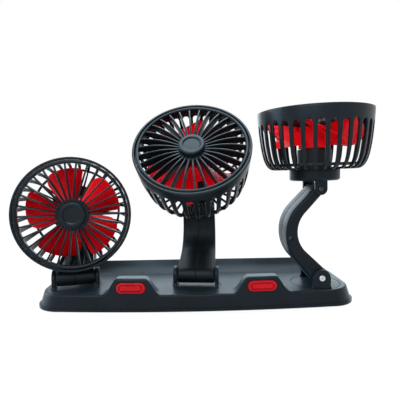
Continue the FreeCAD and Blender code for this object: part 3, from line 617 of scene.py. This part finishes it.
screwY, screwZ = (float(value) for value in armLine(np.array(armLength / 2 - armForm["screwBelow"]))[:2])
recessFloor = armForm["recessDepth"] - armForm["topWidth"] / 2
recess = sideBore(armForm["screwRecess"], recessFloor) + np.array([0, screwY, screwZ])
recess = meshFrom([(recess, False)])
armShapes = {"left": combine(meshFrom([(armShell(-1), False)]), recess, "DIFFERENCE"),
             "right": meshFrom([(armShell(1), False)])}

# Motor cover with its two hinge lugs

lugForm = dict(inner=17.3, outer=21, half=5.8, top=9.4, edge=0.7, recess=3.0, recessDepth=1.2)
coverForm = dict(low=7.6, high=18.4, radius=24, wall=2.2, round=2.5, wire=4.5)
coverPath = roundedPath([(coverForm["wire"], coverForm["low"]), (coverForm["radius"], coverForm["low"]),
                         (coverForm["radius"], coverForm["high"]),
                         (coverForm["radius"] - coverForm["wall"], coverForm["high"]),
                         (coverForm["radius"] - coverForm["wall"], coverForm["low"] + coverForm["wall"]),
                         (coverForm["wire"], coverForm["low"] + coverForm["wall"])],
                        [0.3, coverForm["round"], 0.3, 0.3, 1.0, 0.3], 6)
lugHalf = lugForm["half"]
lugLoop = roundedPath([(-lugHalf, -lugHalf), (lugHalf, -lugHalf), (lugHalf, lugForm["top"]),
                       (-lugHalf, lugForm["top"])], [lugHalf - sliver, lugHalf - sliver, 1.0, 1.0], 12)
lugs = [(alongX(slab(lugLoop, low, high, lugForm["edge"])), False)
        for low, high in ((lugForm["inner"], lugForm["outer"]), (-lugForm["outer"], -lugForm["inner"]))]
motorCover = combine(meshFrom([(lathe(coverPath, 96), True)]), meshFrom(lugs), "UNION")
lugSeat = sideBore(lugForm["recess"], lugForm["recessDepth"] - lugForm["outer"])
motorCover = combine(motorCover, meshFrom([(lugSeat, False)]), "DIFFERENCE")
print("turntable, screws, arm and motor cover made")

# Slotted bowl

bowlForm = dict(rim=73.4, floor=18.4, radii=(54.9, 54.4, 53.2, 51.5, 49.3, 46.5, 43.0, 39.0, 33.0, 25.5),
                steps=(0.0, 9.5, 23.0, 35.0, 44.5, 50.5, 54.0, 55.0, 55.0, 55.0), lift=0.8, wall=2.0, slots=32,
                slotWidth=6.5, slotTop=11.5, slotJoin=41.5, slotEnd=27, slotFoot=3.2, footRound=0.55, wire=4.5,
                bevel=0.32, bevelFrom=40, hoopOuter=45, hoopInner=42.6, hoopLow=3.4, hoopHigh=6.0)


def smoothThrough(points, count):
    # curve through the points: each stretch is a cubic whose end slopes point from neighbour to neighbour
    points = np.asarray(points, float)
    padded = np.vstack([2 * points[0] - points[1], points, 2 * points[-1] - points[-2]])
    place = np.linspace(0, len(points) - 1, count)
    start = np.minimum(place.astype(int), len(points) - 2)
    share = (place - start)[:, None]
    a, b, c, d = (padded[start + shift] for shift in range(4))
    return b + share / 2 * (c - a + share * (2 * a - 5 * b + 4 * c - d + share * (3 * (b - c) + d - a)))


def bowlSheet():
    # outer face of the bowl as one sheet: rows follow the profile from rim to floor, columns the slot sides;
    # the slots run on over the floor and narrow there
    form = bowlForm
    curve = smoothThrough(np.stack([form["radii"], np.array(form["steps"])], 1), 240)
    curve = np.vstack([[curve[0, 0], -form["lift"]], curve])
    travelled = np.concatenate([[0], np.cumsum(np.linalg.norm(np.diff(curve, axis=0), axis=1))])
    half, foot = form["slotWidth"] / 2, form["slotFoot"] / 2
    across = np.concatenate([np.linspace(-1, 1, 9), [2, 3]])
    inSlot = across <= 1
    bulge = np.where(inSlot, 1 - np.sqrt(np.maximum(1 - across ** 2, 0)), 1)[None]
    slotStart = form["lift"] + form["slotTop"] + half * bulge
    slotStop = np.interp(-form["slotEnd"], -curve[:, 0], travelled) - foot * form["footRound"] * bulge
    band = slotStart * np.linspace(0, 1, 6)[:, None]
    open = slotStart + (slotStop - slotStart) * np.linspace(0, 1, 36)[1:, None]
    toFloor = slotStop + (travelled[-1] - slotStop) * np.linspace(0, 1, 4)[1:, None]
    along = np.vstack([band, open, toFloor])
    radius = np.interp(along, travelled, curve[:, 0])
    depth = np.interp(along, travelled, curve[:, 1])
    pitch = 2 * math.pi / form["slots"]
    half = np.interp(radius, (form["slotEnd"], form["slotJoin"]), (foot, half))
    slotAngle = np.arcsin(half / radius)
    ribShare = np.where(inSlot, 0, (across - 1) / 3)[None]
    angle = np.where(inSlot, np.arcsin(np.clip(across, -1, 1) * half / radius),
                     slotAngle + (pitch - 2 * slotAngle) * ribShare)
    turn = (np.arange(form["slots"]) * pitch)[None, :, None]
    angle = (angle[:, None] + turn).reshape(len(along), -1)
    radius, depth = (np.tile(values, (1, form["slots"])) for values in (radius, depth))
    centre = np.linspace(1, form["wire"] / form["radii"][-1], 5)[1:, None] * radius[-1:]
    angle = np.vstack([angle, np.repeat(angle[-1:], 4, 0)])
    depth = np.vstack([depth, np.repeat(depth[-1:], 4, 0)])
    radius = np.vstack([radius, centre])
    points = np.stack([radius * np.cos(angle), radius * np.sin(angle), form["rim"] - depth], -1)
    quads = gridQuads(*points.shape[:2], False, True)
    column = np.tile(np.arange(len(across)) < inSlot.sum() - 1, form["slots"])[None]
    row = np.arange(len(points) - 1)[:, None]
    opening = column & (row >= len(band) - 1) & (row < len(band) + len(open) - 1)
    sheet = bpy.data.meshes.new("bowl")
    sheet.from_pydata(points.reshape(-1, 3).tolist(), [], quads[~opening][:, ::-1].tolist())
    return sheet


bowlShape = bowlSheet()
hoopLow, hoopHigh = bowlForm["floor"] + bowlForm["hoopLow"], bowlForm["floor"] + bowlForm["hoopHigh"]
hoopPath = roundedPath([(bowlForm["hoopInner"], hoopLow), (bowlForm["hoopOuter"], hoopLow),
                        (bowlForm["hoopOuter"], hoopHigh), (bowlForm["hoopInner"], hoopHigh)], [0.5] * 4, 4)
hoopShape = meshFrom([(lathe(hoopPath, 128), True)])

# Front grille

grilleForm = dict(outer=51.9, inner=49.0, seat=6, ringEdge=0.2, ringCrown=1.1, fins=30, fin=1.75, finFoot=1.2,
                  finDepth=7, bulge=2.2, finInner=11.6, hub=15.6, hubFront=1.4, capRadius=12.0, capFlare=0.5,
                  capSunk=0.5, capHeight=3.4, dishRadius=7.4, dishRun=1.2, dishDepth=1.1, dishCrown=0.5)
rim = bowlForm["rim"]


def grilleFins():
    # thin upright fins: a round-topped section carried outward under a shallow arch, then turned round the axis
    form = grilleForm
    radius = np.linspace(form["finInner"], form["inner"] + 1, 15)
    middle, reach = (form["hub"] + form["inner"]) / 2, (form["inner"] - form["hub"]) / 2
    top = rim + form["bulge"] * np.clip(1 - ((radius - middle) / reach) ** 2, -0.12, 1)
    share = (radius - radius[0]) / (radius[-1] - radius[0])
    low = rim - form["finDepth"] + (form["finDepth"] - form["seat"]) * share
    sides = np.array([-0.5, -0.5, -0.34, 0, 0.34, 0.5, 0.5])
    lifts = np.array([0, 0.88, 0.975, 1, 0.975, 0.88, 0])
    wide = form["finFoot"] + (form["fin"] - form["finFoot"]) * lifts
    y = np.broadcast_to(sides * wide, (len(radius), len(sides)))
    z = low[:, None] + (top - low)[:, None] * lifts
    x = np.broadcast_to(radius[:, None], y.shape)
    fin = np.stack([x, y, z], -1)
    fin = np.concatenate([np.broadcast_to(fin[:1].mean(1, keepdims=True), fin[:1].shape), fin,
                          np.broadcast_to(fin[-1:].mean(1, keepdims=True), fin[-1:].shape)])
    turn = np.arange(form["fins"]) * 2 * math.pi / form["fins"]
    cos, sin = np.cos(turn)[:, None, None], np.sin(turn)[:, None, None]
    x, y, z = fin[..., 0], fin[..., 1], fin[..., 2]
    return np.stack([x * cos - y * sin, x * sin + y * cos, z + 0 * cos], -1)


ringIn, ringOut, ringLow = grilleForm["inner"], grilleForm["outer"], rim - grilleForm["seat"]
ringEdge, ringCrown = rim + grilleForm["ringEdge"], rim + grilleForm["ringCrown"]
ringPath = roundedPath([(ringIn, ringLow), (ringOut, ringLow), (ringOut, ringEdge),
                        ((ringIn + ringOut) / 2, ringCrown), (ringIn, ringEdge)], [0.4, 0.4, 0.9, 1.2, 0.9], 5)
hubFront = rim - grilleForm["hubFront"]
hubPath = roundedPath([(0, rim - grilleForm["finDepth"]), (grilleForm["hub"], rim - grilleForm["finDepth"]),
                       (grilleForm["hub"], hubFront), (0, hubFront)], [0.1, 0.4, 0.9, 0.1], 5, True)
grilleShape = meshFrom([(lathe(ringPath, 160), True), (lathe(hubPath, 72), False)]
                       + [(fin, False) for fin in grilleFins()])
capTop = rim + grilleForm["capHeight"]
capLow, dishFloor = hubFront - grilleForm["capSunk"], capTop - grilleForm["dishDepth"]
capOut, dishOut = grilleForm["capRadius"], grilleForm["dishRadius"]
capPath = roundedPath([(0, capLow), (capOut + grilleForm["capFlare"], capLow), (capOut, capTop),
                       (dishOut + grilleForm["dishRun"], capTop), (dishOut, dishFloor),
                       (0, dishFloor + grilleForm["dishCrown"])], [0.1, 0.1, 1.6, 0.5, 0.6, 0.1], 6, True)
capShape = meshFrom([(lathe(capPath, 72), False)])
print("bowl and grille made")

# Five-bladed impeller

bladeForm = dict(count=5, phase=32.3, root=14, waist=33, tip=45, rootHalf=9, tipHalf=22.2, rootRise=9.2,
                 tipRise=12.6, middle=51.9, camber=1.4, thick=1.9, leadRound=11, trailRound=3.5, hub=15.2,
                 hubTop=60.4, hubLow=38.7, hubWall=2, hubRound=3.2, sleeve=4.5, bore=1.5, sleeveLow=40.2)


def blades():
    # twisted cambered sheet between root and tip circles, with rounded tip corners, thickened to both sides
    form = bladeForm
    outward = np.sin(np.linspace(0, 1, 13)[1:] * math.pi / 2)
    radius = np.concatenate([np.linspace(form["root"], form["waist"], 10),
                             form["waist"] + (form["tip"] - form["waist"]) * outward])[:, None]
    share = (radius - form["root"]) / (form["tip"] - form["root"])
    half = form["rootHalf"] + (form["tipHalf"] - form["rootHalf"]) * share
    rise = form["rootRise"] + (form["tipRise"] - form["rootRise"]) * share

    def cornerCut(size):
        over = np.clip((radius - form["tip"] + size) / size, 0, 1)
        return size * (1 - np.sqrt(1 - over ** 2))

    across = np.linspace(-1, 1, 15)[None]
    lead, trail = half - cornerCut(form["leadRound"]), half - cornerCut(form["trailRound"])
    y = np.where(across > 0, across * lead, across * trail)
    slide = y / half
    z = form["middle"] - slide * rise + form["camber"] * (1 - slide ** 2)
    thick = form["thick"] / 2 * np.sqrt(np.maximum(1 - across ** 6, 0)) * np.ones_like(z)
    thick[0] = thick[-1] = 0
    angle = y / radius
    x, y = radius * np.cos(angle), radius * np.sin(angle)
    top, low = np.stack([x, y, z + thick], -1), np.stack([x, y, z - thick], -1)
    blade = np.concatenate([top, low[:, -2:0:-1]], 1)
    turn = np.arange(form["count"]) * 2 * math.pi / form["count"] + math.radians(form["phase"])
    cos, sin = np.cos(turn)[:, None, None], np.sin(turn)[:, None, None]
    x, y, z = blade[..., 0], blade[..., 1], blade[..., 2]
    return np.stack([x * cos - y * sin, x * sin + y * cos, z + 0 * cos], -1)


wheel = bladeForm
hollow, ceiling = wheel["hub"] - wheel["hubWall"], wheel["hubTop"] - wheel["hubWall"]
wheelPath = roundedPath([(0, wheel["hubTop"]), (wheel["hub"], wheel["hubTop"]), (wheel["hub"], wheel["hubLow"]),
                         (hollow, wheel["hubLow"]), (hollow, ceiling), (0, ceiling)],
                        [0.1, wheel["hubRound"], 0.5, 0.5, 1, 0.1], 6, True)
sleevePath = np.array([(wheel["bore"], wheel["sleeveLow"]), (wheel["sleeve"], wheel["sleeveLow"]),
                       (wheel["sleeve"], wheel["hubTop"] - 1), (wheel["bore"], wheel["hubTop"] - 1)])
impellerShape = meshFrom([(lathe(wheelPath, 80), False), (lathe(sleevePath, 40), True)]
                         + [(blade, False) for blade in blades()])
print("impeller made")

# Each unit stands in the frames that its hinges give

for name in unitNames:
    swivel, fold, tilt, spin = (joints[name + end] for end in ("_swivel", "_arm_fold", "_head_tilt", "_spin"))
    hinge, top = np.array(fold["pos_m"]), np.array(tilt["pos_m"])
    onDeck = standAt(swivel["pos_m"], fold["axis"], swivel["axis"])
    onArm = standAt(hinge, fold["axis"], top - hinge)
    onHead = standAt(top, fold["axis"], spin["axis"])
    standPiece(name + "_turntable", turntable, onDeck, name + "_swivel", "body", [name + "_swivel_base"])
    standPiece(name + "_arm_hinge_screw", baseScrew, onDeck, name + "_swivel", "steel",
               [name + "_arm_base_pin"])
    for side, shape in armShapes.items():
        standPiece(name + "_arm_shell_" + side, shape, onArm, name + "_arm", "arm",
                   [name + "_arm_" + side + "_half"])
    head = name + "_head"
    standPiece(name + "_motor_cap", motorCover, onHead, head, "body", [name + "_motor_cover"])
    standPiece(name + "_head_hinge_screw", headScrew, onHead, head, "steel", [name + "_head_pin"], "darkSteel")
    bowl = standPiece(name + "_bowl_basket", bowlShape, onHead, head, "grille", [name + "_fan_bowl"])
    wall = bowl.modifiers.new("wall", "SOLIDIFY")
    wall.thickness = bowlForm["wall"] * mm
    wall.offset = -1
    soften = bowl.modifiers.new("soften", "BEVEL")
    soften.width = bowlForm["bevel"] * mm
    soften.segments = 2
    soften.limit_method = "ANGLE"
    soften.angle_limit = math.radians(bowlForm["bevelFrom"])
    standPiece(name + "_bowl_hoop", hoopShape, onHead, head, "grille", [name + "_fan_bowl"])
    standPiece(name + "_grille_cage", grilleShape, onHead, head, "grille", [name + "_front_grille"])
    standPiece(name + "_grille_button", capShape, onHead, head, "grille", [name + "_grille_cap"])
    standPiece(name + "_impeller_wheel", impellerShape, onHead, name + "_fan", "red", [name + "_impeller"],
               "wheel")
print("units stood in place")

# Carried-over nodes take the finish of their record slot, apart from the arm screws, whose dark steel is painted
# shade of their recess
slotOfNode = {part["node"]: part["material_slot"] for part in frame["record"]["subparts"]}
for name, node in frame["nodes"].items():
    if not node.hide_render:
        node.data.materials.clear()
        finish = "darkSteel" if name.endswith("_arm_screw") else slotOfNode[name]
        node.data.materials.append(finishes[finish])


# Stage: pale floor, white surround, soft lamps and the photograph's camera

def whiteWhenSeen(tree, shade):
    # seen straight, mirrored or through glass the surface is white by a share; other light meets its own shade
    path = tree.nodes.new("ShaderNodeLightPath")
    most = tree.nodes.new("ShaderNodeMath")
    most.operation = "MAXIMUM"
    again = tree.nodes.new("ShaderNodeMath")
    again.operation = "MAXIMUM"
    tree.links.new(path.outputs["Is Camera Ray"], most.inputs[0])
    tree.links.new(path.outputs["Is Glossy Ray"], most.inputs[1])
    tree.links.new(most.outputs[0], again.inputs[0])
    tree.links.new(path.outputs["Is Transmission Ray"], again.inputs[1])
    share = tree.nodes.new("ShaderNodeMath")
    share.operation = "MULTIPLY"
    share.inputs[1].default_value = 1.0
    tree.links.new(again.outputs[0], share.inputs[0])
    mix = tree.nodes.new("ShaderNodeMixShader")
    tree.links.new(share.outputs[0], mix.inputs["Fac"])
    tree.links.new(shade.outputs[0], mix.inputs[1])
    return mix, share.inputs[1]


stageForm = dict(floorSize=6.0, floorShade=0.85, floorRough=0.9, floorWhite=0.90, fadeFrom=0.25, fadeTo=1.1,
                 fillColour=(0.88, 0.95, 1.0), fill=0.6)
floorMesh = bpy.data.meshes.new("floor")
span = stageForm["floorSize"] / 2
corners = [(-span, -span, 0), (span, -span, 0), (span, span, 0), (-span, span, 0)]
floorMesh.from_pydata(corners, [], [(0, 1, 2, 3)])
floor = bpy.data.objects.new("floor", floorMesh)
bpy.context.scene.collection.objects.link(floor)
paper = bpy.data.materials.new("pale_paper")
paper.use_nodes = True
paperTree = paper.node_tree
paperShade = paperTree.nodes["Principled BSDF"]
paperShade.inputs["Base Color"].default_value = (*[stageForm["floorShade"]] * 3, 1)
paperShade.inputs["Roughness"].default_value = stageForm["floorRough"]
glow = paperTree.nodes.new("ShaderNodeEmission")
paperMix, paperShare = whiteWhenSeen(paperTree, paperShade)
distance = paperTree.nodes.new("ShaderNodeVectorMath")
distance.operation = "LENGTH"
paperTree.links.new(paperTree.nodes.new("ShaderNodeTexCoord").outputs["Object"], distance.inputs[0])
paperFade = addRange(paperTree, distance.outputs["Value"], stageForm["floorWhite"], 1.0, stageForm["fadeFrom"],
                     stageForm["fadeTo"])
paperTree.links.new(paperFade, paperShare)
paperTree.links.new(glow.outputs[0], paperMix.inputs[2])
paperTree.links.new(paperMix.outputs[0], paperTree.nodes["Material Output"].inputs["Surface"])
floorMesh.materials.append(paper)

world = bpy.data.worlds.new("studio")
bpy.context.scene.world = world
world.use_nodes = True
worldTree = world.node_tree
fill = worldTree.nodes["Background"]
fill.inputs["Color"].default_value = (*stageForm["fillColour"], 1)
fill.inputs["Strength"].default_value = stageForm["fill"]
surround = worldTree.nodes.new("ShaderNodeBackground")
surround.inputs["Color"].default_value = (1, 1, 1, 1)
worldMix = whiteWhenSeen(worldTree, fill)[0]
worldTree.links.new(surround.outputs[0], worldMix.inputs[2])
worldTree.links.new(worldMix.outputs[0], worldTree.nodes["World Output"].inputs["Surface"])

lampForms = dict(
    overhead=dict(at=(0.05, 0.05, 0.90), toward=(0, 0, 0.05), size=0.9, watts=18.0, colour=(0.80, 0.93, 1.0)),
    front=dict(at=(-0.30, -0.85, 0.65), toward=(0, 0, 0.10), size=0.8, watts=6.0, colour=(1.0, 1.0, 1.0)),
    behind=dict(at=(0.10, 1.60, 0.75), toward=(0, 0, 0.05), size=1.8, watts=22.0, colour=(0.72, 0.90, 1.0)),
    aside=dict(at=(-1.30, 0.25, 0.45), toward=(0, 0, 0.10), size=0.9, watts=12.0, colour=(0.72, 0.90, 1.0)))
for name, form in lampForms.items():
    lamp = bpy.data.lights.new(name, "AREA")
    lamp.size = form["size"]
    lamp.energy = form["watts"]
    lamp.color = form["colour"]
    holder = bpy.data.objects.new(name, lamp)
    away = unit(np.array(form["at"]) - np.array(form["toward"]))
    side = unit(np.cross((0, 0, 1), away))
    turn = np.eye(4)
    turn[:3, :3] = np.stack([side, np.cross(away, side), away], 1)
    turn[:3, 3] = form["at"]
    holder.matrix_world = Matrix(turn.tolist())
    holder.visible_camera = False
    bpy.context.scene.collection.objects.link(holder)

cameraForm = dict(at=(-2.39, -381.4, 130.22), yaw=1.10, pitch=4.52, roll=-0.77, focalPixels=371.22,
                  imagePixels=400, sensor=36, near=0.01)
yaw, pitch, roll = (math.radians(cameraForm[turn]) for turn in ("yaw", "pitch", "roll"))
ahead = np.array([math.sin(yaw) * math.cos(pitch), math.cos(yaw) * math.cos(pitch), -math.sin(pitch)])
level = np.array([math.cos(yaw), -math.sin(yaw), 0])
upright = np.cross(level, ahead)
turn = np.eye(4)
turn[:3, 0] = math.cos(roll) * level + math.sin(roll) * upright
turn[:3, 1] = math.cos(roll) * upright - math.sin(roll) * level
turn[:3, 2] = -ahead
turn[:3, 3] = np.array(cameraForm["at"]) * mm
lens = bpy.data.cameras.new("photo_camera")
lens.sensor_width = cameraForm["sensor"]
lens.lens = lens.sensor_width * cameraForm["focalPixels"] / cameraForm["imagePixels"]
lens.clip_start = cameraForm["near"]
camera = bpy.data.objects.new("photo_camera", lens)
camera.matrix_world = Matrix(turn.tolist())
bpy.context.scene.collection.objects.link(camera)
bpy.context.scene.camera = camera
bpy.context.scene.view_settings.view_transform = "Standard"
print("stage, lamps and camera set")
